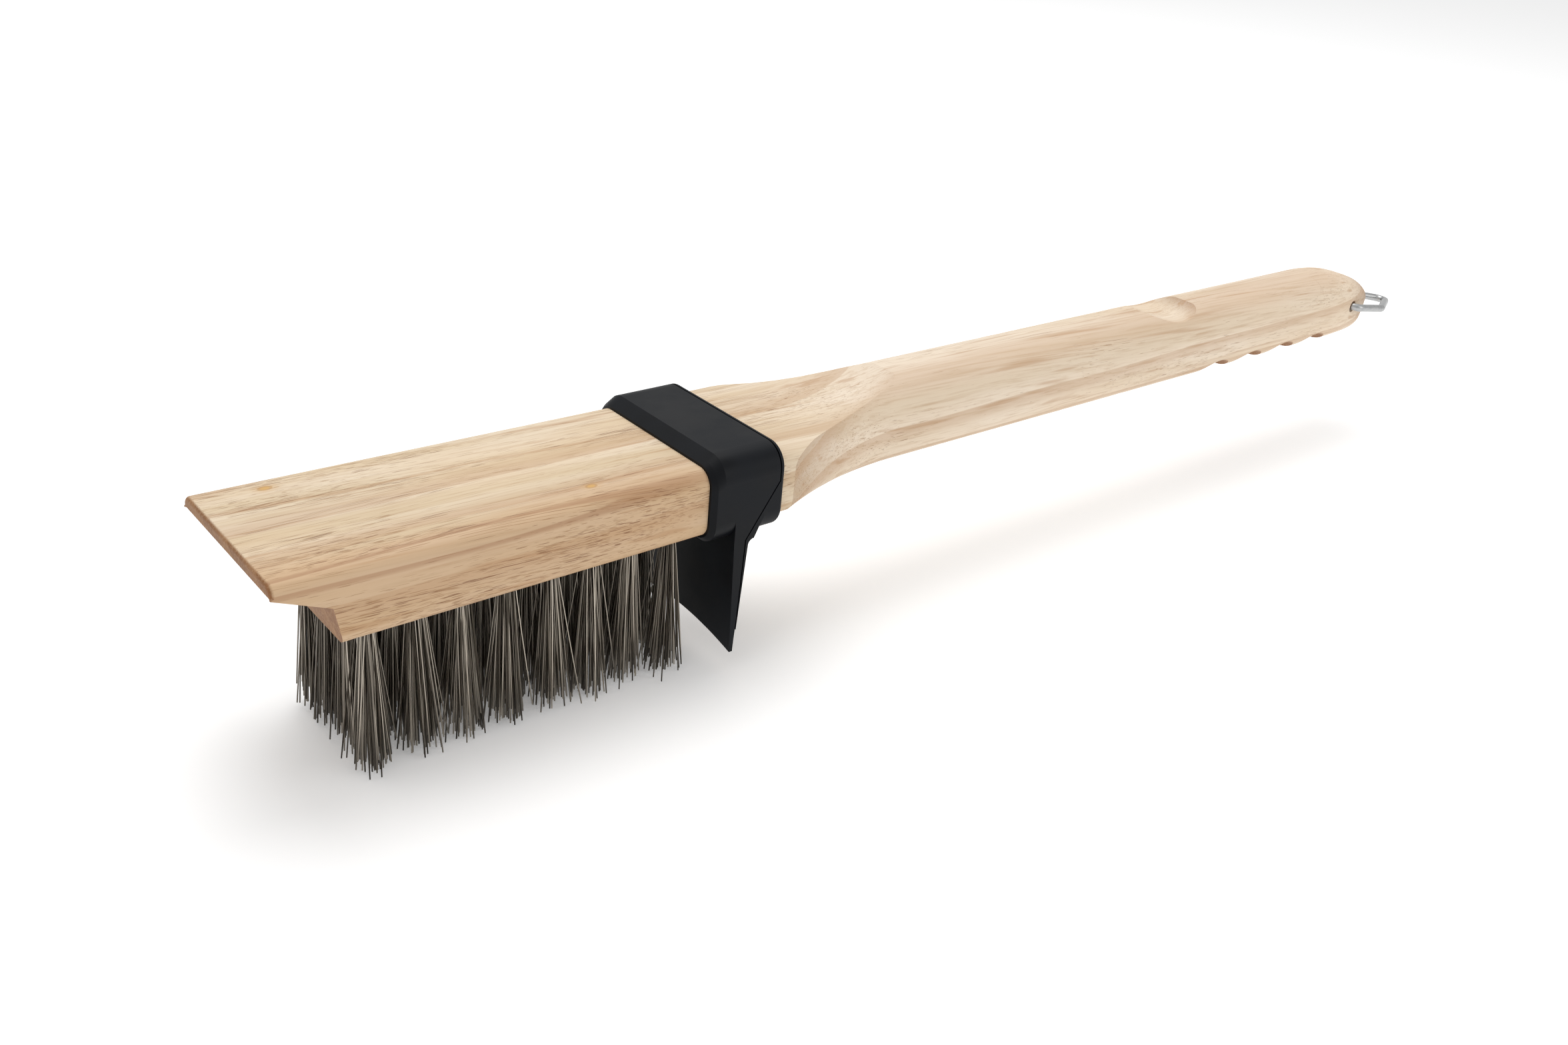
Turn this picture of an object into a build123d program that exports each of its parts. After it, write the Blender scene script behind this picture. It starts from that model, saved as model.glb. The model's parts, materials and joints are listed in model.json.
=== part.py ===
from build123d import *
import os
from math import atan2, cos, degrees, radians, sin

# Grill cleaning brush with a wooden body, steel bristle tufts, a moulded collar that carries a
# scraper blade, and a bent wire loop to hang it by. +X runs from the tip of the head to the end
# of the handle, +Z is up with the bristles pointing down, and the brush is symmetric about Y = 0.
# The origin is the middle of the footprint, at the height of the bristle tips.
# Places along the body are distances from the tip of the head, which place() turns into X.

# ---- driving dimensions, millimetres ----------------------------------------------------------

# wooden body: a flat head, a shaped neck and a rounded handle, cut from one board
body_length = 457.0
head_width = 50.0
head_thickness = 19.0
tip_edge_radius = 2.6
shoulder_edge_radius = 5.0
nose_length = 13.2
nose_lip_height = 3.2
nose_root_depth = 8.8
nose_step_slant = 2.0
nose_rounding = 1.0

shoulder_length = 5.2
neck_length = 52.0
ramp_flat = 12.0
ramp_length = 41.0

grip_width = 27.4
grip_height = 26.3
grip_corner_radius = 10.2
grip_rise = 4.6

tail_width = 25.0
tail_corner_radius = 9.8
tail_length = 49.0
tail_drop = 14.2
tail_tip_half_width = 2.2
tail_width_curve = 2.8
tail_top_curve = 2.4
tail_roundness = 0.78
tail_bevel_length = 21.0
tail_bevel_height = 14.0
neck_steps = 6
tail_steps = 6

thumb_notch_from_end = 134.0
thumb_notch_radius = 28.0
thumb_notch_depth = 2.9
finger_count = 4
finger_pitch = 20.6
finger_first_from_end = 108.5
finger_radius = 11.6
finger_depth = 5.8

# bristles: tufts of steel wire stapled into blind holes
tuft_rows = 4
tufts_per_row = 8
tuft_first_place = 24.3
tuft_pitch_x = 11.7
tuft_pitch_y = 10.6
tuft_hole_radius = 2.25
tuft_hole_depth = 10.0
bristle_length = 41.0
tuft_tip_radius = 5.1
anchor_length = 5.6
anchor_thickness = 0.5
anchor_height = 1.6
anchor_rise = 1.5

# moulded collar with its scraper blade
collar_place = 112.0
collar_length = 22.8
collar_seat_depth = 0.4
collar_seat_corner_radius = 4.4
collar_side_wall = 2.0
collar_top_wall = 3.0
collar_bottom_wall = 2.0
collar_front_wall = 0.7
collar_corner_radius = 6.5
collar_slope_length = 3.6
collar_lip_length = 1.3
collar_edge_radius = 0.9
collar_rim_width = 1.6
blade_setback = 7.6
blade_root_thickness = 4.6
blade_edge_thickness = 1.3
blade_lean = 1.0
blade_point_depth = 35.4
blade_hollow = 3.8
blade_fillet = 1.8
seam_drop = 9.5
seam_inset = 0.9
seam_width = 0.4
seam_depth = 0.35

# two countersunk screws that hold the collar from below
screw_count = 2
screw_spacing = 30.0
screw_behind_blade = 5.6
screw_shank_radius = 1.4
screw_head_radius = 2.7
screw_length = 12.0
screw_slot_width = 0.7
screw_slot_depth = 0.6

# hanging loop of bent wire that turns in a cross hole near the end of the handle
loop_from_end = 25.3
loop_wire_radius = 1.4
loop_hole_clearance = 0.08
loop_mouth_flare = 0.8
loop_mouth_depth = 1.8
loop_side_gap = 0.6
loop_leg_length = 19.2
loop_apex_reach = 47.5
loop_bend_radius = 3.0
loop_end_gap = 2.0
loop_rest_tilt = 9.0

# clearance between pieces that are pushed or screwed together
fit_clearance = 0.05
cut_margin = 5.0

# ---- places worked out from the dimensions ----------------------------------------------------

tail_start = body_length - tail_length
thumb_notch_place = body_length - thumb_notch_from_end
finger_first_place = body_length - finger_first_from_end
loop_place = body_length - loop_from_end


def tail_half_width(distance):
    """Half the width of the tail at this distance from the tip of the head."""
    share = (distance - tail_start) / tail_length
    return tail_width / 2 - (tail_width / 2 - tail_tip_half_width) * share**tail_width_curve


loop_mouth_y = tail_half_width(loop_place)
loop_half_width = loop_mouth_y + loop_side_gap + loop_wire_radius
loop_half_angle = atan2(loop_half_width, loop_apex_reach - loop_leg_length)
loop_reach = loop_apex_reach - loop_bend_radius * (1 / sin(loop_half_angle) - 1)
loop_hole_radius = loop_wire_radius + loop_hole_clearance
loop_far_end = loop_place + loop_reach * cos(radians(loop_rest_tilt)) + loop_wire_radius
overall_length = max(loop_far_end, body_length)


def place(distance):
    """X of a point at this distance from the tip of the head."""
    return distance - overall_length / 2


underside_z = bristle_length
deck_z = underside_z + head_thickness
head_mid_z = (underside_z + deck_z) / 2
grip_top_z = deck_z + grip_rise
grip_bottom_z = grip_top_z - grip_height
grip_mid_z = (grip_top_z + grip_bottom_z) / 2
collar_end = collar_place + collar_length
neck_start = collar_end + shoulder_length
neck_end = neck_start + neck_length
ramp_start = neck_start + ramp_flat
blade_front = collar_place + blade_setback
blade_back = blade_front + blade_root_thickness
seat_under_z = underside_z + collar_seat_depth
collar_half_width = head_width / 2 + collar_side_wall
collar_top_z = deck_z + collar_top_wall
collar_bottom_z = underside_z - collar_bottom_wall
blade_point_z = underside_z - blade_point_depth
screw_place = blade_back + screw_behind_blade


def section(distance, width, top_z, bottom_z, corner_radius):
    """A rounded rectangle across the body, standing at this distance from the tip."""
    with BuildSketch(Plane.YZ.offset(place(distance))) as profile:
        with Locations((0, (top_z + bottom_z) / 2)):
            RectangleRounded(width, top_z - bottom_z, corner_radius)
    return profile.sketch


def finish(piece, name):
    """Label a finished piece and write it as a STEP file."""
    piece.part.label = name
    export_step(piece.part, f"parts/{name}.step")


os.makedirs("parts", exist_ok=True)

tuft_places = [
    (place(tuft_first_place + column * tuft_pitch_x), (row - (tuft_rows - 1) / 2) * tuft_pitch_y)
    for row in range(tuft_rows)
    for column in range(tufts_per_row)
]
anchor_z = underside_z + tuft_hole_depth - anchor_rise - anchor_height / 2
screw_spots = [
    (place(screw_place), (index - (screw_count - 1) / 2) * screw_spacing)
    for index in range(screw_count)
]

# ---- wooden body ------------------------------------------------------------------------------

with BuildPart() as wood_body:
    # head: a board whose edges are rounded a little more towards the collar
    tip_section = section(0, head_width, deck_z, underside_z, tip_edge_radius)
    seat_section = section(neck_start, head_width, deck_z, underside_z, shoulder_edge_radius)
    loft([tip_section, seat_section], ruled=True)

    # neck: full board height, drawn in on both sides like a flare down to the grip
    neck_sections = []
    for step in range(neck_steps + 1):
        share = step / neck_steps
        flare = (1 - share) ** 2
        width = grip_width + (head_width - grip_width) * flare
        bottom_z = grip_bottom_z + (underside_z - grip_bottom_z) * flare
        radius = grip_corner_radius + (shoulder_edge_radius - grip_corner_radius) * flare
        neck_place = neck_start + share * neck_length
        neck_sections.append(section(neck_place, width, grip_top_z, bottom_z, radius))
    loft(neck_sections)

    # grip: a rounded bar that thins a little towards the tail
    grip_section = section(neck_end, grip_width, grip_top_z, grip_bottom_z, grip_corner_radius)
    tail_section = section(tail_start, tail_width, grip_top_z, grip_bottom_z, tail_corner_radius)
    loft([grip_section, tail_section], ruled=True)

    # tail: the top curves down and the sides draw in towards the end
    tail_sections = []
    for step in range(tail_steps + 1):
        share = step / tail_steps
        tail_place = tail_start + share * tail_length
        half_width = tail_half_width(tail_place)
        top_z = grip_top_z - tail_drop * share**tail_top_curve
        radius = min(tail_corner_radius, half_width * tail_roundness)
        tail_sections.append(section(tail_place, 2 * half_width, top_z, grip_bottom_z, radius))
    loft(tail_sections)

    # top of the neck: level with the head, then ramped up to the top of the grip
    with BuildSketch(Plane.XZ):
        with BuildLine():
            Line((place(neck_start), deck_z), (place(ramp_start), deck_z))
            ramp = TangentArc(
                (place(ramp_start), deck_z),
                (place(ramp_start + ramp_length), grip_top_z),
                tangent=(1, 0),
            )
            Polyline(
                ramp @ 1,
                (place(ramp_start + ramp_length), grip_top_z + cut_margin),
                (place(neck_start), grip_top_z + cut_margin),
                (place(neck_start), deck_z),
            )
        make_face()
    extrude(amount=head_width, both=True, mode=Mode.SUBTRACT)

    # the rounded top edges of the head run on into the flare
    with BuildSketch(Plane.YZ.offset(place(neck_start))):
        for side in (-1, 1):
            edge_y = head_width / 2 - shoulder_edge_radius
            edge_z = deck_z - shoulder_edge_radius
            bulge = shoulder_edge_radius * cos(radians(45))
            with BuildLine():
                ThreePointArc(
                    (side * edge_y, deck_z),
                    (side * (edge_y + bulge), edge_z + bulge),
                    (side * head_width / 2, edge_z),
                )
                Polyline(
                    (side * head_width / 2, edge_z),
                    (side * (head_width / 2 + cut_margin), edge_z),
                    (side * (head_width / 2 + cut_margin), deck_z + cut_margin),
                    (side * edge_y, deck_z + cut_margin),
                    (side * edge_y, deck_z),
                )
            make_face()
    extrude(amount=ramp_flat, mode=Mode.SUBTRACT)

    # shallow seat for the collar, all round the head
    with BuildSketch(Plane.YZ.offset(place(collar_place - fit_clearance))):
        with Locations((0, head_mid_z)):
            Rectangle(head_width + cut_margin, head_thickness + cut_margin)
            RectangleRounded(
                head_width - 2 * collar_seat_depth,
                head_thickness - 2 * collar_seat_depth,
                collar_seat_corner_radius,
                mode=Mode.SUBTRACT,
            )
    extrude(amount=collar_length + 2 * fit_clearance, mode=Mode.SUBTRACT)

    # nose: a thin lip in front of the bristles, with a slanted step behind it
    with BuildSketch(Plane.XZ):
        with BuildLine():
            Polyline(
                (place(-cut_margin), deck_z - nose_lip_height),
                (place(0), deck_z - nose_lip_height),
                (place(nose_length), deck_z - nose_root_depth),
                (place(nose_length + nose_step_slant), underside_z),
                (place(nose_length + nose_step_slant), underside_z - cut_margin),
                (place(-cut_margin), underside_z - cut_margin),
                close=True,
            )
        make_face()
    extrude(amount=head_width, both=True, mode=Mode.SUBTRACT)
    fillet(wood_body.faces().sort_by(Axis.X)[0].edges(), nose_rounding)

    # bevel under the end of the handle
    with BuildSketch(Plane.XZ):
        with BuildLine():
            Polyline(
                (place(body_length - tail_bevel_length), grip_bottom_z),
                (place(body_length), grip_bottom_z + tail_bevel_height),
                (place(body_length + cut_margin), grip_bottom_z + tail_bevel_height),
                (place(body_length + cut_margin), grip_bottom_z - cut_margin),
                (place(body_length - tail_bevel_length), grip_bottom_z - cut_margin),
                close=True,
            )
        make_face()
    extrude(amount=grip_width, both=True, mode=Mode.SUBTRACT)

    # thumb notch across the top and finger hollows across the bottom of the grip
    with BuildSketch(Plane.XZ):
        with Locations((place(thumb_notch_place), grip_top_z - thumb_notch_depth + thumb_notch_radius)):
            Circle(thumb_notch_radius)
        for finger in range(finger_count):
            finger_place = finger_first_place + finger * finger_pitch
            with Locations((place(finger_place), grip_bottom_z + finger_depth - finger_radius)):
                Circle(finger_radius)
    extrude(amount=grip_width, both=True, mode=Mode.SUBTRACT)

    # cross hole for the hanging loop, eased at both mouths
    with BuildSketch(Plane.XZ):
        with Locations((place(loop_place), grip_mid_z)):
            Circle(loop_hole_radius)
    extrude(amount=grip_width, both=True, mode=Mode.SUBTRACT)
    for side in (-1, 1):
        mouth_origin = (place(loop_place), side * (loop_mouth_y - loop_mouth_depth), grip_mid_z)
        with Locations(Plane(origin=mouth_origin, z_dir=(0, side, 0))):
            Cone(
                loop_hole_radius,
                loop_hole_radius + 2 * loop_mouth_flare,
                2 * loop_mouth_depth,
                align=(Align.CENTER, Align.CENTER, Align.MIN),
                mode=Mode.SUBTRACT,
            )

    # blind holes for the tufts, with a slot each side that the staple anchor bites into
    for spot_x, spot_y in tuft_places:
        with Locations(Plane(origin=(spot_x, spot_y, underside_z), x_dir=(1, 0, 0), z_dir=(0, 0, -1))):
            Hole(tuft_hole_radius, depth=tuft_hole_depth)
        with Locations((spot_x, spot_y, anchor_z)):
            Box(
                anchor_thickness + 2 * fit_clearance,
                anchor_length + 2 * fit_clearance,
                anchor_height + 2 * fit_clearance,
                mode=Mode.SUBTRACT,
            )

    # pilot holes for the collar screws
    for spot_x, spot_y in screw_spots:
        with Locations(Plane(origin=(spot_x, spot_y, collar_bottom_z), x_dir=(1, 0, 0), z_dir=(0, 0, -1))):
            Hole(screw_shank_radius + fit_clearance, depth=screw_length + fit_clearance)
finish(wood_body, "wood_body")

# ---- bristle tufts ----------------------------------------------------------------------------

for number, (spot_x, spot_y) in enumerate(tuft_places):
    with BuildPart() as tuft:
        root_radius = tuft_hole_radius - fit_clearance
        root_top_z = underside_z + tuft_hole_depth - fit_clearance
        with BuildSketch(Plane.XZ.offset(-spot_y)):
            with BuildLine():
                Polyline(
                    (spot_x, root_top_z),
                    (spot_x + root_radius, root_top_z),
                    (spot_x + root_radius, underside_z),
                    (spot_x + tuft_tip_radius, 0),
                    (spot_x, 0),
                    close=True,
                )
            make_face()
        revolve(axis=Axis((spot_x, spot_y, 0), (0, 0, 1)))
        with Locations((spot_x, spot_y, anchor_z)):
            Box(
                anchor_thickness + 2 * fit_clearance,
                anchor_length + 2 * fit_clearance,
                anchor_height + 2 * fit_clearance,
                mode=Mode.SUBTRACT,
            )
    finish(tuft, f"tuft_row{number // tufts_per_row + 1}_{number % tufts_per_row + 1}")

# ---- staple anchors, one in the root of each tuft ---------------------------------------------

with BuildPart() as tuft_anchors:
    for spot_x, spot_y in tuft_places:
        with Locations((spot_x, spot_y, anchor_z)):
            Box(anchor_thickness, anchor_length, anchor_height)
finish(tuft_anchors, "tuft_anchors")

# ---- collar and scraper, one moulding ---------------------------------------------------------

with BuildPart() as collar_scraper:
    # front lip, then a long slope on top and a short one round the sides
    front_side = collar_side_wall - collar_front_wall
    front_top_z = deck_z + collar_front_wall
    slope_share = collar_lip_length / collar_slope_length
    front_section = section(
        collar_place,
        2 * (collar_half_width - front_side),
        front_top_z,
        underside_z - collar_front_wall,
        collar_corner_radius - front_side,
    )
    lip_section = section(
        collar_place + collar_lip_length,
        2 * collar_half_width,
        front_top_z + slope_share * (collar_top_z - front_top_z),
        collar_bottom_z,
        collar_corner_radius,
    )
    band_start = collar_place + collar_slope_length
    band_section = section(
        band_start,
        2 * collar_half_width,
        collar_top_z,
        collar_bottom_z,
        collar_corner_radius,
    )
    loft([front_section, lip_section, band_section], ruled=True)

    # main band, with a rounded back edge
    extrude(band_section, amount=collar_end - band_start)
    fillet(faces().sort_by(Axis.X)[-1].edges(), radius=collar_edge_radius)

    # scraper blade: a wedge that hangs from the band, flush with its sides up to a sloping seam,
    # with a hollow working edge
    seam_top = (place(collar_end - collar_rim_width), collar_top_z - seam_drop)
    blade_back_x = place(blade_back)
    fillet_middle = blade_fillet * (1 - cos(radians(45)))
    with BuildSketch(Plane.XZ):
        with BuildLine():
            Polyline(
                (blade_back_x + blade_fillet, collar_bottom_z),
                seam_top,
                (place(blade_front), seam_top[1]),
                (place(blade_front), collar_bottom_z),
                (place(blade_front + blade_lean), blade_point_z),
                (place(blade_front + blade_lean + blade_edge_thickness), blade_point_z),
                (blade_back_x, collar_bottom_z - blade_fillet),
            )
            ThreePointArc(
                (blade_back_x, collar_bottom_z - blade_fillet),
                (blade_back_x + fillet_middle, collar_bottom_z - fillet_middle),
                (blade_back_x + blade_fillet, collar_bottom_z),
            )
        make_face()
    extrude(amount=collar_half_width, both=True)
    with BuildSketch(Plane.YZ.offset(place(blade_front - cut_margin))):
        with BuildLine():
            ThreePointArc(
                (-collar_half_width, blade_point_z),
                (0, blade_point_z + blade_hollow),
                (collar_half_width, blade_point_z),
            )
            Polyline(
                (collar_half_width, blade_point_z),
                (collar_half_width, blade_point_z - cut_margin),
                (-collar_half_width, blade_point_z - cut_margin),
                (-collar_half_width, blade_point_z),
            )
        make_face()
    extrude(amount=blade_root_thickness + 2 * cut_margin, mode=Mode.SUBTRACT)

    # seam of the moulding: over the top near the back edge, then down each side and the blade
    with BuildSketch(Plane.YZ.offset(seam_top[0])):
        with Locations((0, seam_top[1] + collar_half_width)):
            Rectangle(2 * collar_half_width + cut_margin, 2 * collar_half_width)
        with Locations((0, head_mid_z)):
            RectangleRounded(
                2 * (collar_half_width - seam_depth),
                collar_top_z - collar_bottom_z - 2 * seam_depth,
                collar_corner_radius - seam_depth,
                mode=Mode.SUBTRACT,
            )
    extrude(amount=seam_width, mode=Mode.SUBTRACT)
    seam_bend = (blade_back_x - seam_inset, collar_bottom_z)
    seam_end = (place(blade_front + blade_lean + blade_edge_thickness), blade_point_z)
    for side in (-1, 1):
        with BuildSketch(Plane.XZ.offset(side * (collar_half_width - seam_depth))):
            for start, end in ((seam_top, seam_bend), (seam_bend, seam_end)):
                run = Vector(*end) - Vector(*start)
                with Locations(Vector(*start) + run / 2):
                    Rectangle(
                        run.length + seam_width,
                        seam_width,
                        rotation=degrees(atan2(run.Y, run.X)),
                    )
        extrude(amount=side * cut_margin, mode=Mode.SUBTRACT)

    # the opening that the seat fills
    with BuildSketch(Plane.YZ.offset(place(collar_place - cut_margin))):
        with Locations((0, head_mid_z)):
            RectangleRounded(
                head_width - 2 * (collar_seat_depth - fit_clearance),
                head_thickness - 2 * (collar_seat_depth - fit_clearance),
                collar_seat_corner_radius + fit_clearance,
            )
    extrude(amount=collar_length + 2 * cut_margin, mode=Mode.SUBTRACT)

    # countersunk holes behind the blade
    for spot_x, spot_y in screw_spots:
        with Locations(
            Plane(origin=(spot_x, spot_y, collar_bottom_z), x_dir=(1, 0, 0), z_dir=(0, 0, -1))
        ):
            CounterSinkHole(
                screw_shank_radius + fit_clearance,
                screw_head_radius + fit_clearance,
                depth=collar_bottom_wall + cut_margin,
                counter_sink_angle=90,
            )
finish(collar_scraper, "collar_scraper")

# ---- collar screws ----------------------------------------------------------------------------

with BuildPart() as collar_screws:
    for spot_x, spot_y in screw_spots:
        with BuildSketch(Plane.XZ.offset(-spot_y)):
            with BuildLine():
                Polyline(
                    (spot_x, collar_bottom_z),
                    (spot_x + screw_head_radius, collar_bottom_z),
                    (spot_x + screw_shank_radius, collar_bottom_z + screw_head_radius - screw_shank_radius),
                    (spot_x + screw_shank_radius, collar_bottom_z + screw_length - screw_shank_radius),
                    (spot_x, collar_bottom_z + screw_length),
                    close=True,
                )
            make_face()
        revolve(axis=Axis((spot_x, spot_y, 0), (0, 0, 1)))
        with Locations((spot_x, spot_y, collar_bottom_z)):
            Box(3 * screw_head_radius, screw_slot_width, 2 * screw_slot_depth, mode=Mode.SUBTRACT)
finish(collar_screws, "collar_screws")

# ---- hanging loop -----------------------------------------------------------------------------

tilt = radians(loop_rest_tilt)
loop_plane = Plane(
    origin=(place(loop_place), 0, grip_mid_z),
    x_dir=(cos(tilt), 0, -sin(tilt)),
    z_dir=(sin(tilt), 0, cos(tilt)),
)
with BuildPart() as hanging_loop:
    with BuildLine(loop_plane) as wire_path:
        FilletPolyline(
            (0, loop_end_gap / 2),
            (0, loop_half_width),
            (loop_leg_length, loop_half_width),
            (loop_apex_reach, 0),
            (loop_leg_length, -loop_half_width),
            (0, -loop_half_width),
            (0, -loop_end_gap / 2),
            radius=loop_bend_radius,
        )
    with BuildSketch(Plane(origin=wire_path.line @ 0, z_dir=wire_path.line % 0)):
        Circle(loop_wire_radius)
    sweep(path=wire_path.line)
finish(hanging_loop, "hanging_loop")
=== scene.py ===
# %% [markdown]
# # A grill cleaning brush
#
# The real brush is one stick of light rubberwood with a flat head. Four rows of stainless wire
# stand under the head, a black moulded collar with a scraper closes it, and a bent wire loop
# hangs from the handle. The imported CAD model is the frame: it gives every place and size. This
# lesson gives each piece its real surface, and grows the wires one by one, because a CAD solid
# can only stand in for a bundle of them.

# %% Load the frame
import json
import math

import bpy
from mathutils import Matrix, Vector


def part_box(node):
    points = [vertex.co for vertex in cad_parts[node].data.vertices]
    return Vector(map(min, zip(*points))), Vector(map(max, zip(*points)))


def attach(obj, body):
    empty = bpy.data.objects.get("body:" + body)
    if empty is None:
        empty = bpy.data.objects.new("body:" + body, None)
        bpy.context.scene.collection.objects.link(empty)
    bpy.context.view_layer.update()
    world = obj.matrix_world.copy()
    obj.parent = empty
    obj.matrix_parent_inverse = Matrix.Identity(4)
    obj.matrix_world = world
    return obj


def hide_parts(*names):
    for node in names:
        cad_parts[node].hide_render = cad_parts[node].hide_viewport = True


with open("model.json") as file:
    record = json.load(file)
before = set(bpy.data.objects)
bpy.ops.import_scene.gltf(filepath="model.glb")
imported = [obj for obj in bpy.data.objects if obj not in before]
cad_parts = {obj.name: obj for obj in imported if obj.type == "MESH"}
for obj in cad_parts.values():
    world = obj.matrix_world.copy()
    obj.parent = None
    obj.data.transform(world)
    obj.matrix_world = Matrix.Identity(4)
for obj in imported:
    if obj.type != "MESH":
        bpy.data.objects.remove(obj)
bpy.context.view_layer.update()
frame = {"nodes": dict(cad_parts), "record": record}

# %% [markdown]
# Two places carry most of what follows: the tip of the head, where the grain is measured from,
# and the height of the head's flat deck. The wooden body's box gives the first, and the mount
# on the deck gives the second.

# %% Places on the head
MM = 0.001
tip_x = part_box("wood_body")[0].x
mounts = {mount["name"]: mount for mount in frame["record"]["mounts"]}
deck_z = mounts["head_deck"]["pos_m"][2]
print("tip at", round(tip_x, 4), "m, deck at", round(deck_z, 4), "m")

# %% [markdown]
# Node trees are long to write by hand, so one function adds a node, sets it up and joins its
# sockets. Colours are written as the hex values a painter picks from a screen. A shader wants
# linear light, so a second function turns one into the other.

# %% Helpers for node trees
def linear(hex_value):
    """An sRGB colour such as #d8c3a0 as linear red, green, blue and alpha."""
    channels = [int(hex_value[i : i + 2], 16) / 255 for i in (1, 3, 5)]
    curve = [c / 12.92 if c <= 0.04045 else ((c + 0.055) / 1.055) ** 2.4 for c in channels]
    return (*curve, 1.0)


def add(tree, kind, links=None, **settings):
    """Adds a node. links maps an input's name or number to a number, a hex colour, a socket,
    or another node, which stands for its first output."""
    node = tree.nodes.new(kind)
    for name, value in settings.items():
        setattr(node, name, value)
    for key, value in (links or {}).items():
        named = [s for s in node.inputs if s.enabled and s.name == key]
        socket = node.inputs[key] if isinstance(key, int) else named[0]
        if isinstance(value, bpy.types.Node):
            value = next(s for s in value.outputs if s.enabled)
        if isinstance(value, bpy.types.NodeSocket):
            tree.links.new(value, socket)
        elif isinstance(value, str) and value.startswith("#"):
            socket.default_value = linear(value)
        else:
            socket.default_value = value
    return node


def new_material(name):
    """An empty material and its node tree."""
    material = bpy.data.materials.new(name)
    material.use_nodes = True
    material.node_tree.nodes.clear()
    return material, material.node_tree


print("the hex value #808080 is", round(linear("#808080")[0], 3), "in linear light")

# %% [markdown]
# ## Rubberwood
#
# The stick is sawn and sanded, with no lacquer. To the eye that is a pale cream with tan bands,
# hair-thin fibres, and short brown dashes where the saw opened a pore. Painting each face by
# itself would break at the edges. The wood is made as a solid block instead: the pattern fills
# space, and the carved surface cuts through it. So the rings turn into arches where the neck
# and the thumb hollow slope through them, as they do in a real stick.
#
# The block is measured in millimetres from the tip. It is turned a little, because the plank
# was sawn a little askew, and a slow noise bends the fibres.

# %% Grain coordinates
GRAIN_SLOPE = (0.0, math.radians(-1.3), math.radians(2.4))
WAVER = 3.0  # mm that a fibre strays from straight
WAVER_ACROSS = 22.0  # mm over the grain from one stray to the next
WAVER_ALONG = 132.0

wood, tree = new_material("rubberwood_sanded")
coords = add(tree, "ShaderNodeTexCoord").outputs
links = {0: coords["Object"], 1: (tip_x, 0.0, deck_z)}
from_tip = add(tree, "ShaderNodeVectorMath", links, operation="SUBTRACT")
links = {0: from_tip, "Scale": 1 / MM}
place_mm = add(tree, "ShaderNodeVectorMath", links, operation="SCALE")
links = {"Vector": place_mm, "Rotation": GRAIN_SLOPE}
turned = add(tree, "ShaderNodeVectorRotate", links, rotation_type="EULER_XYZ")
links = {"Vector": turned, "Scale": (1 / WAVER_ALONG, 1 / WAVER_ACROSS, 1 / WAVER_ACROSS)}
drawn_out = add(tree, "ShaderNodeMapping", links)
slow = add(tree, "ShaderNodeTexNoise", {"Vector": drawn_out, "Scale": 1.0, "Detail": 1.0})
links = {0: slow.outputs["Color"], 1: (0.5, 0.5, 0.5)}
centred = add(tree, "ShaderNodeVectorMath", links, operation="SUBTRACT")
links = {0: centred, 1: (0.0, 2 * WAVER, 2 * WAVER), 2: turned}
fibre_place = add(tree, "ShaderNodeVectorMath", links, operation="MULTIPLY_ADD")
print("fibres stray by", WAVER, "mm")

# %% [markdown]
# Everything that follows one fibre is noise drawn out along the grain. A real pore is a fifth
# of a millimetre wide, and here it is slightly coarser, or it would not show. One loop makes
# all the patterns, from a table of real sizes.

# %% Bands, fibres and pores
PATTERNS = {  # mm across, times longer along the grain, where it starts, detail, roughness
    "band": (8.0, 18, (0.0, 0.0, 0.0), 3.0, 0.5),
    "cloud": (30.0, 3, (4.0, 2.0, 7.0), 1.0, 0.5),
    "fibre": (0.8, 50, (0.0, 0.0, 0.0), 3.0, 0.65),
    "streak": (2.4, 30, (5.0, 3.0, 1.0), 2.0, 0.5),
    "patch": (9.0, 6, (8.0, 1.0, 2.0), 1.0, 0.5),
    "fine pore": (0.22, 120, (3.0, 9.0, 5.0), 1.0, 0.5),
    "bold pore": (0.26, 130, (7.0, 2.0, 4.0), 1.0, 0.5),
}
shown = {}
for name, (across, longer, start, detail, roughness) in PATTERNS.items():
    scale = (1 / (across * longer), 1 / across, 1 / across)
    links = {"Vector": fibre_place, "Location": start, "Scale": scale}
    drawn_out = add(tree, "ShaderNodeMapping", links)
    links = {"Vector": drawn_out, "Scale": 1.0, "Detail": detail, "Roughness": roughness}
    shown[name] = add(tree, "ShaderNodeTexNoise", links)
    print(name, across, "mm wide")

# %% [markdown]
# Growth rings are tubes round the middle of the tree, which lies outside this plank. Each year
# darkens slowly and ends at once. One dry year left a brown line, which crosses the near edge
# of the deck.

# %% Growth rings
RING_SPACING = 8.5  # mm, one year's growth of a rubber tree
PITH_PLACE = (0.0, 38.0, -66.0)  # mm from the head's tip and deck to the middle of the tree
DRY_YEAR = 10.42  # years from the middle of the tree

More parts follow.
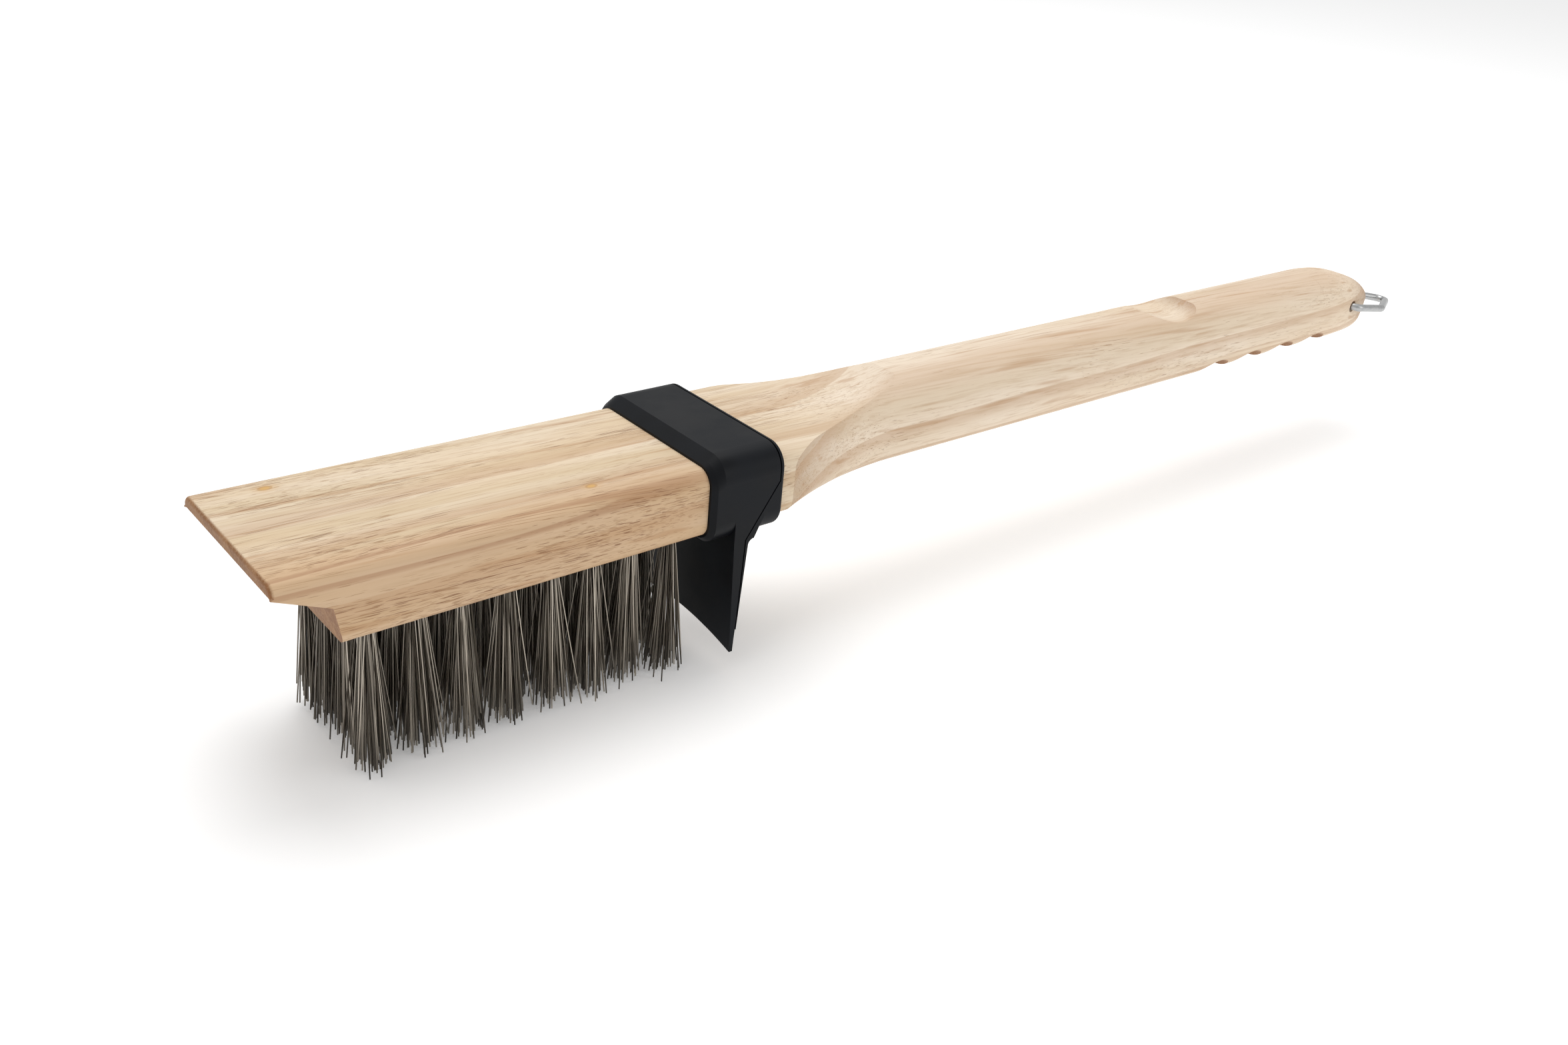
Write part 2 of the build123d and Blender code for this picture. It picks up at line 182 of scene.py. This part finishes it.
links = {0: fibre_place, 1: PITH_PLACE}
from_pith = add(tree, "ShaderNodeVectorMath", links, operation="SUBTRACT")
links = {0: from_pith, 1: (0.0, 1.0, 1.0)}
across_grain = add(tree, "ShaderNodeVectorMath", links, operation="MULTIPLY")
radius = add(tree, "ShaderNodeVectorMath", {0: across_grain}, operation="LENGTH")
links = {0: radius, 1: RING_SPACING}
year = add(tree, "ShaderNodeMath", links, operation="DIVIDE")
season = add(tree, "ShaderNodeMath", {0: year}, operation="FRACT")
LINES = {  # what it follows, where it starts, is darkest, and ends
    "ring": (season, 0.35, 0.96, 1.0),
    "dry year": (year, DRY_YEAR - 0.16, DRY_YEAR, DRY_YEAR + 0.03),
}
for name, (value, start, peak, end) in LINES.items():
    links = {"Value": value, "From Min": start, "From Max": peak}
    rise = add(tree, "ShaderNodeMapRange", links, interpolation_type="SMOOTHSTEP")
    links = {"Value": value, "From Min": end, "From Max": peak}
    fall = add(tree, "ShaderNodeMapRange", links, interpolation_type="SMOOTHSTEP")
    shown[name] = add(tree, "ShaderNodeMath", {0: rise, 1: fall}, operation="MULTIPLY")
print("rings every", RING_SPACING, "mm")

# %% [markdown]
# Pores gather in patches, so the level that a pore has to pass is lower where the patch noise
# is high. The handle is cut from closer wood, so there the level rises.

# %% Where the pores open
PORE_LEVELS = {"fine pore": (0.68, 0.57), "bold pore": (0.75, 0.61)}  # sparse, dense
HANDLE_PLACE = (110.0, 190.0)  # mm from the tip, where the closer wood starts and is full
CLOSER = 0.085  # how much higher the level is on the handle

along, side = add(tree, "ShaderNodeSeparateXYZ", {0: place_mm}).outputs[:2]
low, high = HANDLE_PLACE
links = {"Value": along, "From Min": low, "From Max": high}
shown["closer wood"] = add(tree, "ShaderNodeMapRange", links, interpolation_type="SMOOTHSTEP")
links = {0: shown["closer wood"], 1: CLOSER}
closer = add(tree, "ShaderNodeMath", links, operation="MULTIPLY")
for name, (sparse, dense) in PORE_LEVELS.items():
    links = {"Value": shown["patch"], "From Min": 0.32, "From Max": 0.68}
    links.update({"To Min": sparse, "To Max": dense})
    level = add(tree, "ShaderNodeMapRange", links, interpolation_type="SMOOTHSTEP")
    raised = add(tree, "ShaderNodeMath", {0: level, 1: closer}, operation="ADD")
    links = {0: shown[name], 1: raised}
    shown[name] = add(tree, "ShaderNodeMath", links, operation="SUBTRACT")
print("bold pores on the handle start at", round(PORE_LEVELS["bold pore"][1] + CLOSER, 3))

# %% [markdown]
# The near edge of the head is redder wood, along a line that follows the bands. And wherever
# the surface turns across the fibres, as at the nose and in the hollows, the open ends look
# brown. That coat is also painted shade: it is dark enough to stand in for the nose face's
# shade, and it darkens each face the more it turns towards either end. The Normal output tells
# how far the surface has turned.

# %% Redder edge, and end grain with painted shade
RED_SIDE = (-9.0, -24.0)  # mm from the middle line, where it starts and is full
RED_LENGTH = (150.0, 95.0)  # mm from the tip
EDGE_WANDER = 22.0  # mm that the edge of the red wood follows the bands

links = {0: shown["band"], 1: EDGE_WANDER, 2: side}
wandering = add(tree, "ShaderNodeMath", links, operation="MULTIPLY_ADD")
shift = EDGE_WANDER / 2
reddened = []
for value, (start, full), offset in ((wandering, RED_SIDE, shift), (along, RED_LENGTH, 0.0)):
    links = {"Value": value, "From Min": start + offset, "From Max": full + offset}
    reddened.append(add(tree, "ShaderNodeMapRange", links, interpolation_type="SMOOTHSTEP"))
links = dict(enumerate(reddened))
shown["red wood"] = add(tree, "ShaderNodeMath", links, operation="MULTIPLY")
facing = add(tree, "ShaderNodeSeparateXYZ", {0: coords["Normal"]})
# end grain and painted shade: the more a face turns towards either end, the browner and darker
# it is painted
shown["end grain and shade"] = add(tree, "ShaderNodeMath", {0: facing}, operation="ABSOLUTE")
print("red wood ends", RED_LENGTH[0], "mm from the tip")

# %% [markdown]
# Two pin knots sit in the deck, where a twig was cut off. Each is a small amber oval with a
# brown rim, and the wood round it is a little warmer. Distance is counted in knot radii, so the
# same colours serve both.

# %% Pin knots
KNOTS = ((16.5, 18.7, 1.05), (82.4, -16.6, 0.95))  # mm from the tip and the middle, and radius
KNOT_STRETCH = 1.6
KNOT_DEPTH = 3.3  # how much deeper than wide it goes into the wood

nearest = 100.0
for knot_along, knot_side, knot_radius in KNOTS:
    links = {0: place_mm, 1: (knot_along, knot_side, 0.0)}
    offset = add(tree, "ShaderNodeVectorMath", links, operation="SUBTRACT")
    radii = (KNOT_STRETCH * knot_radius, knot_radius, KNOT_DEPTH * knot_radius)
    squeezed = add(tree, "ShaderNodeVectorMath", {0: offset, 1: radii}, operation="DIVIDE")
    reach = add(tree, "ShaderNodeVectorMath", {0: squeezed}, operation="LENGTH")
    nearest = add(tree, "ShaderNodeMath", {0: nearest, 1: reach}, operation="MINIMUM")
shown["knot"] = nearest
print("knots:", len(KNOTS))

# %% [markdown]
# The colour is built as a painter would: a pale ground, then thin coats. Each coat has a
# colour, the pattern that lets it show, the pattern's value where it starts and where it is
# full, and its strength.

# %% Colour the wood
GROUND = "#e1d1ba"
COATS = (
    ("#ceb896", "band", 0.34, 0.68, 0.85),
    ("#dac19f", "cloud", 0.42, 0.62, 0.45),
    ("#eadbcb", "closer wood", 0.0, 1.0, 0.38),
    ("#bd9366", "red wood", 0.0, 1.0, 0.60),
    # end grain, and painted shade on the nose face
    ("#7c4b1c", "end grain and shade", 0.12, 0.72, 0.92),
    ("#ad8055", "ring", 0.0, 1.0, 0.34),
    ("#bb9d7c", "fibre", 0.42, 0.74, 0.48),
    ("#94633f", "dry year", 0.0, 1.0, 0.45),
    ("#ad8259", "streak", 0.58, 0.72, 0.46),
    ("#936b44", "fine pore", 0.0, 0.03, 0.58),
    ("#74492b", "bold pore", 0.0, 0.035, 0.70),
    ("#d0aa78", "knot", 2.6, 0.6, 0.40),
    ("#b1844c", "knot", 1.2, 0.95, 0.55),
    ("#d4a860", "knot", 0.85, 0.5, 0.65),
)
colour = GROUND
for coat, pattern, start, full, strength in COATS:
    links = {"Value": shown[pattern], "From Min": start, "From Max": full, "To Max": strength}
    amount = add(tree, "ShaderNodeMapRange", links, interpolation_type="SMOOTHSTEP")
    links = {"Factor": amount, "A": colour, "B": coat}
    colour = add(tree, "ShaderNodeMix", links, data_type="RGBA")
print("coats:", len(COATS))

# %% [markdown]
# Sanding leaves the fibres proud by a few hundredths of a millimetre and the bold pores open.
# The pressed fibres shine a little more than the hollows between them, so the same pattern
# drives the roughness.

# %% Relief and sheen of the wood
RELIEF = 0.05  # mm from an open pore to the sanded face
FIBRE_SHARE = 0.35  # of that, for the fibres
SANDED = (0.55, 0.68)  # roughness of pressed and of hollow fibres

links = {"Value": shown["bold pore"], "From Max": 0.05}
opened = add(tree, "ShaderNodeMapRange", links, interpolation_type="SMOOTHSTEP")
links = {0: shown["fibre"], 1: FIBRE_SHARE}
proud = add(tree, "ShaderNodeMath", links, operation="MULTIPLY")
relief = add(tree, "ShaderNodeMath", {0: proud, 1: opened}, operation="SUBTRACT")
links = {"Height": relief, "Strength": 0.3, "Distance": RELIEF * MM}
bump = add(tree, "ShaderNodeBump", links)
links = {"Value": shown["fibre"], "From Min": 0.3, "From Max": 0.8}
links.update({"To Min": SANDED[0], "To Max": SANDED[1]})
dullness = add(tree, "ShaderNodeMapRange", links)
links = {"Base Color": colour, "Roughness": dullness, "Normal": bump}
links.update({"IOR": 1.5, "Specular IOR Level": 0.3})
shader = add(tree, "ShaderNodeBsdfPrincipled", links)
add(tree, "ShaderNodeOutputMaterial", {"Surface": shader})
print("wood nodes:", len(tree.nodes))

# %% [markdown]
# ## Nylon and steel
#
# The collar and the scraper are one moulding in black glass-filled nylon. The mould was spark
# eroded, which leaves a fine even grit, so its shine is broad and soft. The loop is bent wire,
# plated and then tumbled in a drum, which leaves a satin grey with a faint mottle. The screws
# are steel with bright zinc plate, which is a little bluer. All three are one recipe: a tint
# between two tones, a roughness between two values, and a fine relief, each led by noise of a
# real size.

# %% Moulded nylon and tumbled steel
SURFACES = {  # mm of the tint noise and of the relief, two tones, two roughnesses, relief in mm
    "nylon_moulded_black": (14.0, 0.35, "#080a0e", "#0f1217", 0.40, 0.54, 0.03),
    "steel_wire_tumbled": (1.6, 1.6, "#a3a4a4", "#b9b9b8", 0.30, 0.42, 0.02),
    "steel_screw_zinc_plated": (1.6, 1.6, "#9fa2a6", "#b6b9bc", 0.28, 0.40, 0.02),
}
SHADERS = {
    "nylon_moulded_black": {"IOR": 1.53, "Specular IOR Level": 0.13},
    "steel_wire_tumbled": {"Metallic": 1.0},
    "steel_screw_zinc_plated": {"Metallic": 1.0},
}
surfaces = {}
for name, (blotch, grit, dark, light, smooth, dull, depth) in SURFACES.items():
    surfaces[name], tree = new_material(name)
    coords = add(tree, "ShaderNodeTexCoord").outputs
    links = {"Vector": coords["Object"], "Scale": 1 / (blotch * MM), "Detail": 4.0}
    patches = add(tree, "ShaderNodeTexNoise", links)
    links = {"Vector": coords["Object"], "Scale": 1 / (grit * MM), "Detail": 2.0}
    grains = add(tree, "ShaderNodeTexNoise", links)
    links = {"Value": patches, "From Min": 0.3, "From Max": 0.7}
    amount = add(tree, "ShaderNodeMapRange", links, interpolation_type="SMOOTHSTEP")
    links = {"Factor": amount, "A": dark, "B": light}
    tint = add(tree, "ShaderNodeMix", links, data_type="RGBA")
    links = {"Value": amount, "To Min": smooth, "To Max": dull}
    dullness = add(tree, "ShaderNodeMapRange", links)
    links = {"Height": grains, "Strength": 0.25, "Distance": depth * MM}
    bump = add(tree, "ShaderNodeBump", links)
    links = {"Base Color": tint, "Roughness": dullness, "Normal": bump, **SHADERS[name]}
    shader = add(tree, "ShaderNodeBsdfPrincipled", links)
    add(tree, "ShaderNodeOutputMaterial", {"Surface": shader})
    print(name, "has", len(tree.nodes), "nodes")

# %% [markdown]
# The bristles are drawn stainless wire, bright when new and browned by soot. Each wire was
# drawn and dirtied by itself, so its tone is an attribute that the row tree below gives to
# each wire.

# %% Drawn wire
wire_steel, tree = new_material("stainless_wire_drawn")
tone = add(tree, "ShaderNodeAttribute", attribute_name="tone", attribute_type="GEOMETRY")
links = {"Factor": tone.outputs["Fac"], "A": "#433d35", "B": "#c6bdaf"}
tint = add(tree, "ShaderNodeMix", links, data_type="RGBA")
links = {"Base Color": tint, "Metallic": 1.0, "Roughness": 0.36}
shader = add(tree, "ShaderNodeBsdfPrincipled", links)
add(tree, "ShaderNodeOutputMaterial", {"Surface": shader})
print("wire nodes:", len(tree.nodes))

# %% [markdown]
# The CAD pieces whose shape is right stay as they are, and only change their material. The
# anchors sit deep in the wood, and they are cut from bright wire.

# %% Dress the CAD pieces
FINISHES = {
    "wood_body": wood,
    "collar_scraper": surfaces["nylon_moulded_black"],
    "hanging_loop": surfaces["steel_wire_tumbled"],
    "collar_screws": surfaces["steel_screw_zinc_plated"],
    "tuft_anchors": surfaces["steel_wire_tumbled"],
}
for name, finish in FINISHES.items():
    slots = frame["nodes"][name].data.materials
    slots.clear()
    slots.append(finish)
    print(name, "is", finish.name)

# %% [markdown]
# ## The wires
#
# A row of the brush is eight bundles of straight wire. Each bundle is folded over an anchor in
# its hole, cut to length, and fans out until it crosses its neighbours. Thousands of thin
# pieces that follow one rule are work for geometry nodes. Each wire is a point with a root and
# a tip: both lie in a disc round the bundle's middle, and the tip's disc is wider. One small
# cylinder is placed on each point, turned to face its tip and stretched to reach it. Then every
# wire bows a little, most at its free end.

# %% Inputs of the row tree
ROW_INPUTS = {
    "Bundles": "Int",
    "Wires": "Int",
    "First place": "Vector",
    "Pitch": "Float",
    "Length": "Float",
    "Root radius": "Float",
    "Fan radius": "Float",
    "Bundle lean": "Float",
    "Unevenness": "Float",
    "Wire radius": "Float",
    "Bow": "Float",
    "Seed": "Int",
    "Wire": "Material",
}
row_tree = bpy.data.node_groups.new("bristle_row", "GeometryNodeTree")
tree = row_tree
tree.interface.new_socket("Geometry", in_out="OUTPUT", socket_type="NodeSocketGeometry")
for name, kind in ROW_INPUTS.items():
    tree.interface.new_socket(name, in_out="INPUT", socket_type="NodeSocket" + kind)
given = add(tree, "NodeGroupInput").outputs
print("row tree inputs:", len(ROW_INPUTS))

# %% [markdown]
# The points are numbered from 0, so dividing a point's number by the wires in a bundle and
# dropping the rest gives the number of its bundle. That times the pitch is how far along the
# row the bundle stands.

# %% Where the bundles stand
links = {0: given["Bundles"], 1: given["Wires"]}
count = add(tree, "ShaderNodeMath", links, operation="MULTIPLY")
links = {0: add(tree, "GeometryNodeInputIndex"), 1: given["Wires"]}
bundles_done = add(tree, "ShaderNodeMath", links, operation="DIVIDE")
bundle = add(tree, "ShaderNodeMath", {0: bundles_done}, operation="FLOOR")
step = add(tree, "ShaderNodeMath", {0: bundle, 1: given["Pitch"]}, operation="MULTIPLY")
links = {0: given["First place"], 1: add(tree, "ShaderNodeCombineXYZ", {"X": step})}
middle = add(tree, "ShaderNodeVectorMath", links, operation="ADD")
print("nodes so far:", len(tree.nodes))

# %% [markdown]
# Chance needs care. Each choice has a stream of its own, added to the seed, so that two choices
# never follow each other. The power bends the odds: above 1, low values are common. Most
# choices are made for each wire, and the lean is made once for each bundle, by giving the
# random node the bundle's number.

# %% Choices that chance makes
TURN = 2 * math.pi
CHOICES = {  # stream, lowest, highest, power, and whether a whole bundle shares it
    "root reach": (1, 0.0, 1.0, 0.5, False),
    "root angle": (2, 0.0, TURN, 1.0, False),
    "swerve": (3, -0.55, 0.55, 1.0, False),
    "spread": (4, 0.62, 1.32, 3.0, False),
    "shortness": (5, 0.0, 1.0, 1.6, False),
    "bow angle": (6, 0.0, TURN, 1.0, False),
    "bow": (7, 0.0, 1.0, 1.0, False),
    "tone": (8, 0.0, 1.0, 1.8, False),
    "lean angle": (9, 0.0, TURN, 1.0, True),
    "lean": (10, 0.2, 1.0, 1.0, True),
}
chosen = {}
for name, (stream, low, high, power, shared) in CHOICES.items():
    links = {0: given["Seed"], 1: float(stream)}
    links = {"Seed": add(tree, "ShaderNodeMath", links, operation="ADD")}
    if shared:
        links["ID"] = bundle
    drawn = add(tree, "FunctionNodeRandomValue", links, data_type="FLOAT")
    bent_odds = add(tree, "ShaderNodeMath", {0: drawn, 1: power}, operation="POWER")
    links = {"Value": bent_odds, "To Min": low, "To Max": high}
    chosen[name] = add(tree, "ShaderNodeMapRange", links)
print("choices:", len(CHOICES))

# %% [markdown]
# A place in a disc is an angle and a reach, like a spoke of a wheel, so one helper makes every
# level arrow. The tip keeps its root's angle apart from a small swerve, which is why a bundle
# fans out like a real one and its wires seldom cross. A bundle also leans as a whole, and each
# wire is a little shorter than the longest one.

# %% Root and tip of each wire
def spoke(angle, share, length):
    """A level arrow at that angle, `share` of `length` long."""
    reach = add(tree, "ShaderNodeMath", {0: share, 1: length}, operation="MULTIPLY")
    straight = add(tree, "ShaderNodeCombineXYZ", {"X": reach})
    links = {"Vector": straight, "Angle": angle}
    return add(tree, "ShaderNodeVectorRotate", links, rotation_type="Z_AXIS")


links = {0: chosen["root angle"], 1: chosen["swerve"]}
tip_angle = add(tree, "ShaderNodeMath", links, operation="ADD")
links = {0: chosen["root reach"], 1: chosen["spread"]}
tip_reach = add(tree, "ShaderNodeMath", links, operation="MULTIPLY")
links = {0: chosen["shortness"], 1: given["Unevenness"]}
cut = add(tree, "ShaderNodeMath", links, operation="MULTIPLY")
drop = add(tree, "ShaderNodeMath", {0: cut, 1: given["Length"]}, operation="SUBTRACT")

links = {0: middle, 1: spoke(chosen["root angle"], chosen["root reach"], given["Root radius"])}
root = add(tree, "ShaderNodeVectorMath", links, operation="ADD")
tip = middle
for part in (
    spoke(chosen["lean angle"], chosen["lean"], given["Bundle lean"]),
    spoke(tip_angle, tip_reach, given["Fan radius"]),
    add(tree, "ShaderNodeCombineXYZ", {"Z": drop}),
):
    tip = add(tree, "ShaderNodeVectorMath", {0: tip, 1: part}, operation="ADD")
run = add(tree, "ShaderNodeVectorMath", {0: tip, 1: root}, operation="SUBTRACT")
span = add(tree, "ShaderNodeVectorMath", {0: run}, operation="LENGTH")
print("nodes so far:", len(tree.nodes))

# %% [markdown]
# Each wire starts as one point at its root. The point carries the wire's bow and its tone as
# named attributes, which every corner of the finished wire inherits.

# %% One point for each wire
points = add(tree, "GeometryNodePoints", {"Count": count, "Position": root})
bow = spoke(chosen["bow angle"], chosen["bow"], given["Bow"])
for name, kind, value in (("bow", "FLOAT_VECTOR", bow), ("tone", "FLOAT", chosen["tone"])):
    links = {"Geometry": points, "Name": name, "Value": value}
    points = add(tree, "GeometryNodeStoreNamedAttribute", links, data_type=kind)
    print("each wire carries its", name)

# %% [markdown]
# The wire is a cylinder one metre tall, because then its stretch is simply its length. Five
# sides look round at this thickness, and four steps are enough for a gentle bow. Before it is
# placed, each corner notes how far along the wire it is.

# %% The wire itself
WIRE_SIDES = 5
WIRE_STEPS = 4

links = {"Vertices": WIRE_SIDES, "Side Segments": WIRE_STEPS, "Depth": 1.0}
wire = add(tree, "GeometryNodeMeshCylinder", {**links, "Radius": given["Wire radius"]})
links = {"Geometry": wire, "Translation": (0.0, 0.0, 0.5)}
standing = add(tree, "GeometryNodeTransform", links)
place = add(tree, "ShaderNodeSeparateXYZ", {0: add(tree, "GeometryNodeInputPosition")})
links = {"Geometry": standing, "Name": "along", "Value": place.outputs["Z"]}
measured = add(tree, "GeometryNodeStoreNamedAttribute", links, data_type="FLOAT")
towards_tip = add(tree, "FunctionNodeAlignRotationToVector", {"Vector": run}, axis="Z")
stretch = add(tree, "ShaderNodeCombineXYZ", {"X": 1.0, "Y": 1.0, "Z": span})
links = {"Points": points, "Instance": measured, "Rotation": towards_tip, "Scale": stretch}
placed = add(tree, "GeometryNodeInstanceOnPoints", links)
real = add(tree, "GeometryNodeRealizeInstances", {"Geometry": placed})
print("faces of one wire:", WIRE_SIDES * WIRE_STEPS + 2)

# %% [markdown]
# A free wire bends little near its hole and most at its end, so the bow grows with the square
# of the way along. Realize Instances has made real corners to move by then, and Set Material
# comes last.

# %% Bow the wires and finish the tree
read = {}
for name, kind in (("bow", "FLOAT_VECTOR"), ("along", "FLOAT")):
    read[name] = add(tree, "GeometryNodeInputNamedAttribute", {"Name": name}, data_type=kind)
belly = add(tree, "ShaderNodeMath", {0: read["along"], 1: 2.0}, operation="POWER")
bend = add(tree, "ShaderNodeVectorMath", {0: read["bow"], "Scale": belly}, operation="SCALE")
bent = add(tree, "GeometryNodeSetPosition", {"Geometry": real, "Offset": bend})
smooth = add(tree, "GeometryNodeSetShadeSmooth", {"Geometry": bent})
coated = add(tree, "GeometryNodeSetMaterial", {"Geometry": smooth, "Material": given["Wire"]})
add(tree, "NodeGroupOutput", {"Geometry": coated})
print("row tree nodes:", len(row_tree.nodes))

# %% [markdown]
# The CAD tufts say where each row starts, how far apart its bundles are and how deep they
# reach. The first tuft's box gives the middle line and the height, and the second one's gives
# the pitch. The wires start a little way up the hole, where nobody sees the fold.

# %% Grow the four rows
ROWS = 4
BUNDLES = 8
WIRES = 92  # in one bundle
ROOT_DROP = 5 * MM  # how far under the anchor a wire starts to fan out
TIP_GAP = 0.4 * MM  # what the longest wire leaves under it


def bristle_row(row):
    """One row of wires as a plain mesh, made by the row tree."""
    low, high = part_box(f"tuft_row{row}_1")
    second_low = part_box(f"tuft_row{row}_2")[0]
    root_z = high.z - ROOT_DROP
    values = {
        "Bundles": BUNDLES,
        "Wires": WIRES,
        "First place": ((low.x + high.x) / 2, (low.y + high.y) / 2, root_z),
        "Pitch": second_low.x - low.x,
        "Length": root_z - low.z - TIP_GAP,
        "Root radius": 1.75 * MM,
        "Fan radius": 6.2 * MM,
        "Bundle lean": 1.3 * MM,
        "Unevenness": 7.0 * MM,
        "Wire radius": 0.19 * MM,
        "Bow": 1.3 * MM,
        "Seed": 25 * row,
        "Wire": wire_steel,
    }
    piece = bpy.data.objects.new(f"bristle_row{row}", bpy.data.meshes.new("empty_row"))
    bpy.context.scene.collection.objects.link(piece)
    grower = piece.modifiers.new("wires", "NODES")
    grower.node_group = row_tree
    for socket in row_tree.interface.items_tree:
        if socket.in_out == "INPUT":
            grower[socket.identifier] = values[socket.name]
    graph = bpy.context.evaluated_depsgraph_get()
    grown = bpy.data.meshes.new_from_object(piece.evaluated_get(graph), depsgraph=graph)
    piece.modifiers.remove(grower)
    piece.data = grown
    return piece


for row in range(1, ROWS + 1):
    bristles = bristle_row(row)
    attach(bristles, "brush")
    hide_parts(*[f"tuft_row{row}_{number}" for number in range(1, BUNDLES + 1)])
    print(bristles.name, "faces:", len(bristles.data.polygons))

# %% [markdown]
# ## Stage, light and camera
#
# The brush stands on its bristles on plain white paper. The paper glows faintly, as a sheet on
# a light table does, which keeps the shadows soft and the far ground white. A single flat face
# is enough, because nothing of it shows but its whiteness.

# %% Paper
REACH = 3.0  # m from the middle of the sheet to its edge

paper, tree = new_material("white_paper")
links = {"Base Color": "#f4f4f4", "Roughness": 0.9, "Specular IOR Level": 0.0}
links.update({"Emission Color": "#ffffff", "Emission Strength": 0.19})
shader = add(tree, "ShaderNodeBsdfPrincipled", links)
add(tree, "ShaderNodeOutputMaterial", {"Surface": shader})
corners = [(x * REACH, y * REACH, 0.0) for x, y in ((-1, -1), (1, -1), (1, 1), (-1, 1))]
sheet = bpy.data.meshes.new("paper")
sheet.from_pydata(corners, [], [range(4)])
sheet.materials.append(paper)
floor = bpy.data.objects.new("paper", sheet)
bpy.context.scene.collection.objects.link(floor)
print("paper reaches", REACH, "m")

# %% [markdown]
# A white tent lights the brush from all round. A wide lamp high up on the far side gives the
# deck its brightness and leaves the near side of the head in light shade, and a weak one in
# front opens up the handle.

# %% Tent and lamps
TENT = 0.70  # strength of the light from all round
LAMPS = {  # place, the point it faces, how wide it is in m, and its power in W
    "high_softbox": ((0.10, 0.40, 1.35), (0.0, 0.0, 0.0), 1.1, 10.5),
    "front_softbox": ((0.75, -1.1, 0.55), (0.05, 0.0, 0.05), 0.9, 2.6),
}
world = bpy.data.worlds.new("white_tent")
world.use_nodes = True
tent = world.node_tree.nodes["Background"].inputs
tent["Color"].default_value = linear("#ffffff")
tent["Strength"].default_value = TENT
bpy.context.scene.world = world
for name, (place, aim, size, power) in LAMPS.items():
    lamp = bpy.data.lights.new(name, "AREA")
    lamp.shape = "DISK"
    lamp.size = size
    lamp.energy = power
    light = bpy.data.objects.new(name, lamp)
    light.location = place
    light.rotation_euler = (Vector(aim) - Vector(place)).to_track_quat("-Z", "Y").to_euler()
    bpy.context.scene.collection.objects.link(light)
    print(name, power, "W")

# %% [markdown]
# The camera stands near the tip, to the left of the head, and looks along the brush, so the
# head is large and the handle runs away from it. It leans a little, because a brush that lies
# on a table tips towards its handle, and the frame is level with the head.

# %% Camera
HEADING = math.radians(41.51)  # turned from straight across towards the handle
DIP = math.radians(27.12)
LEAN = math.radians(5.45)
STAND = Vector((tip_x - 0.0912, -0.2837, deck_z + 0.1565))
LENS = 33.55  # mm, on a sensor 36 mm wide

ahead = Vector((math.sin(HEADING), math.cos(HEADING), -math.tan(DIP))).normalized()
level = Vector((math.cos(HEADING), -math.sin(HEADING), 0.0))
right = level * math.cos(LEAN) + level.cross(ahead) * math.sin(LEAN)
turn = Matrix((right, right.cross(ahead), -ahead)).transposed().to_4x4()

camera = bpy.data.objects.new("camera", bpy.data.cameras.new("camera"))
camera.data.sensor_width = 36.0
camera.data.lens = LENS
camera.data.clip_start = 0.01
camera.matrix_world = Matrix.Translation(STAND) @ turn
bpy.context.scene.collection.objects.link(camera)
bpy.context.scene.camera = camera
bpy.context.scene.view_settings.view_transform = "Standard"
print("camera at", [round(value, 3) for value in STAND])
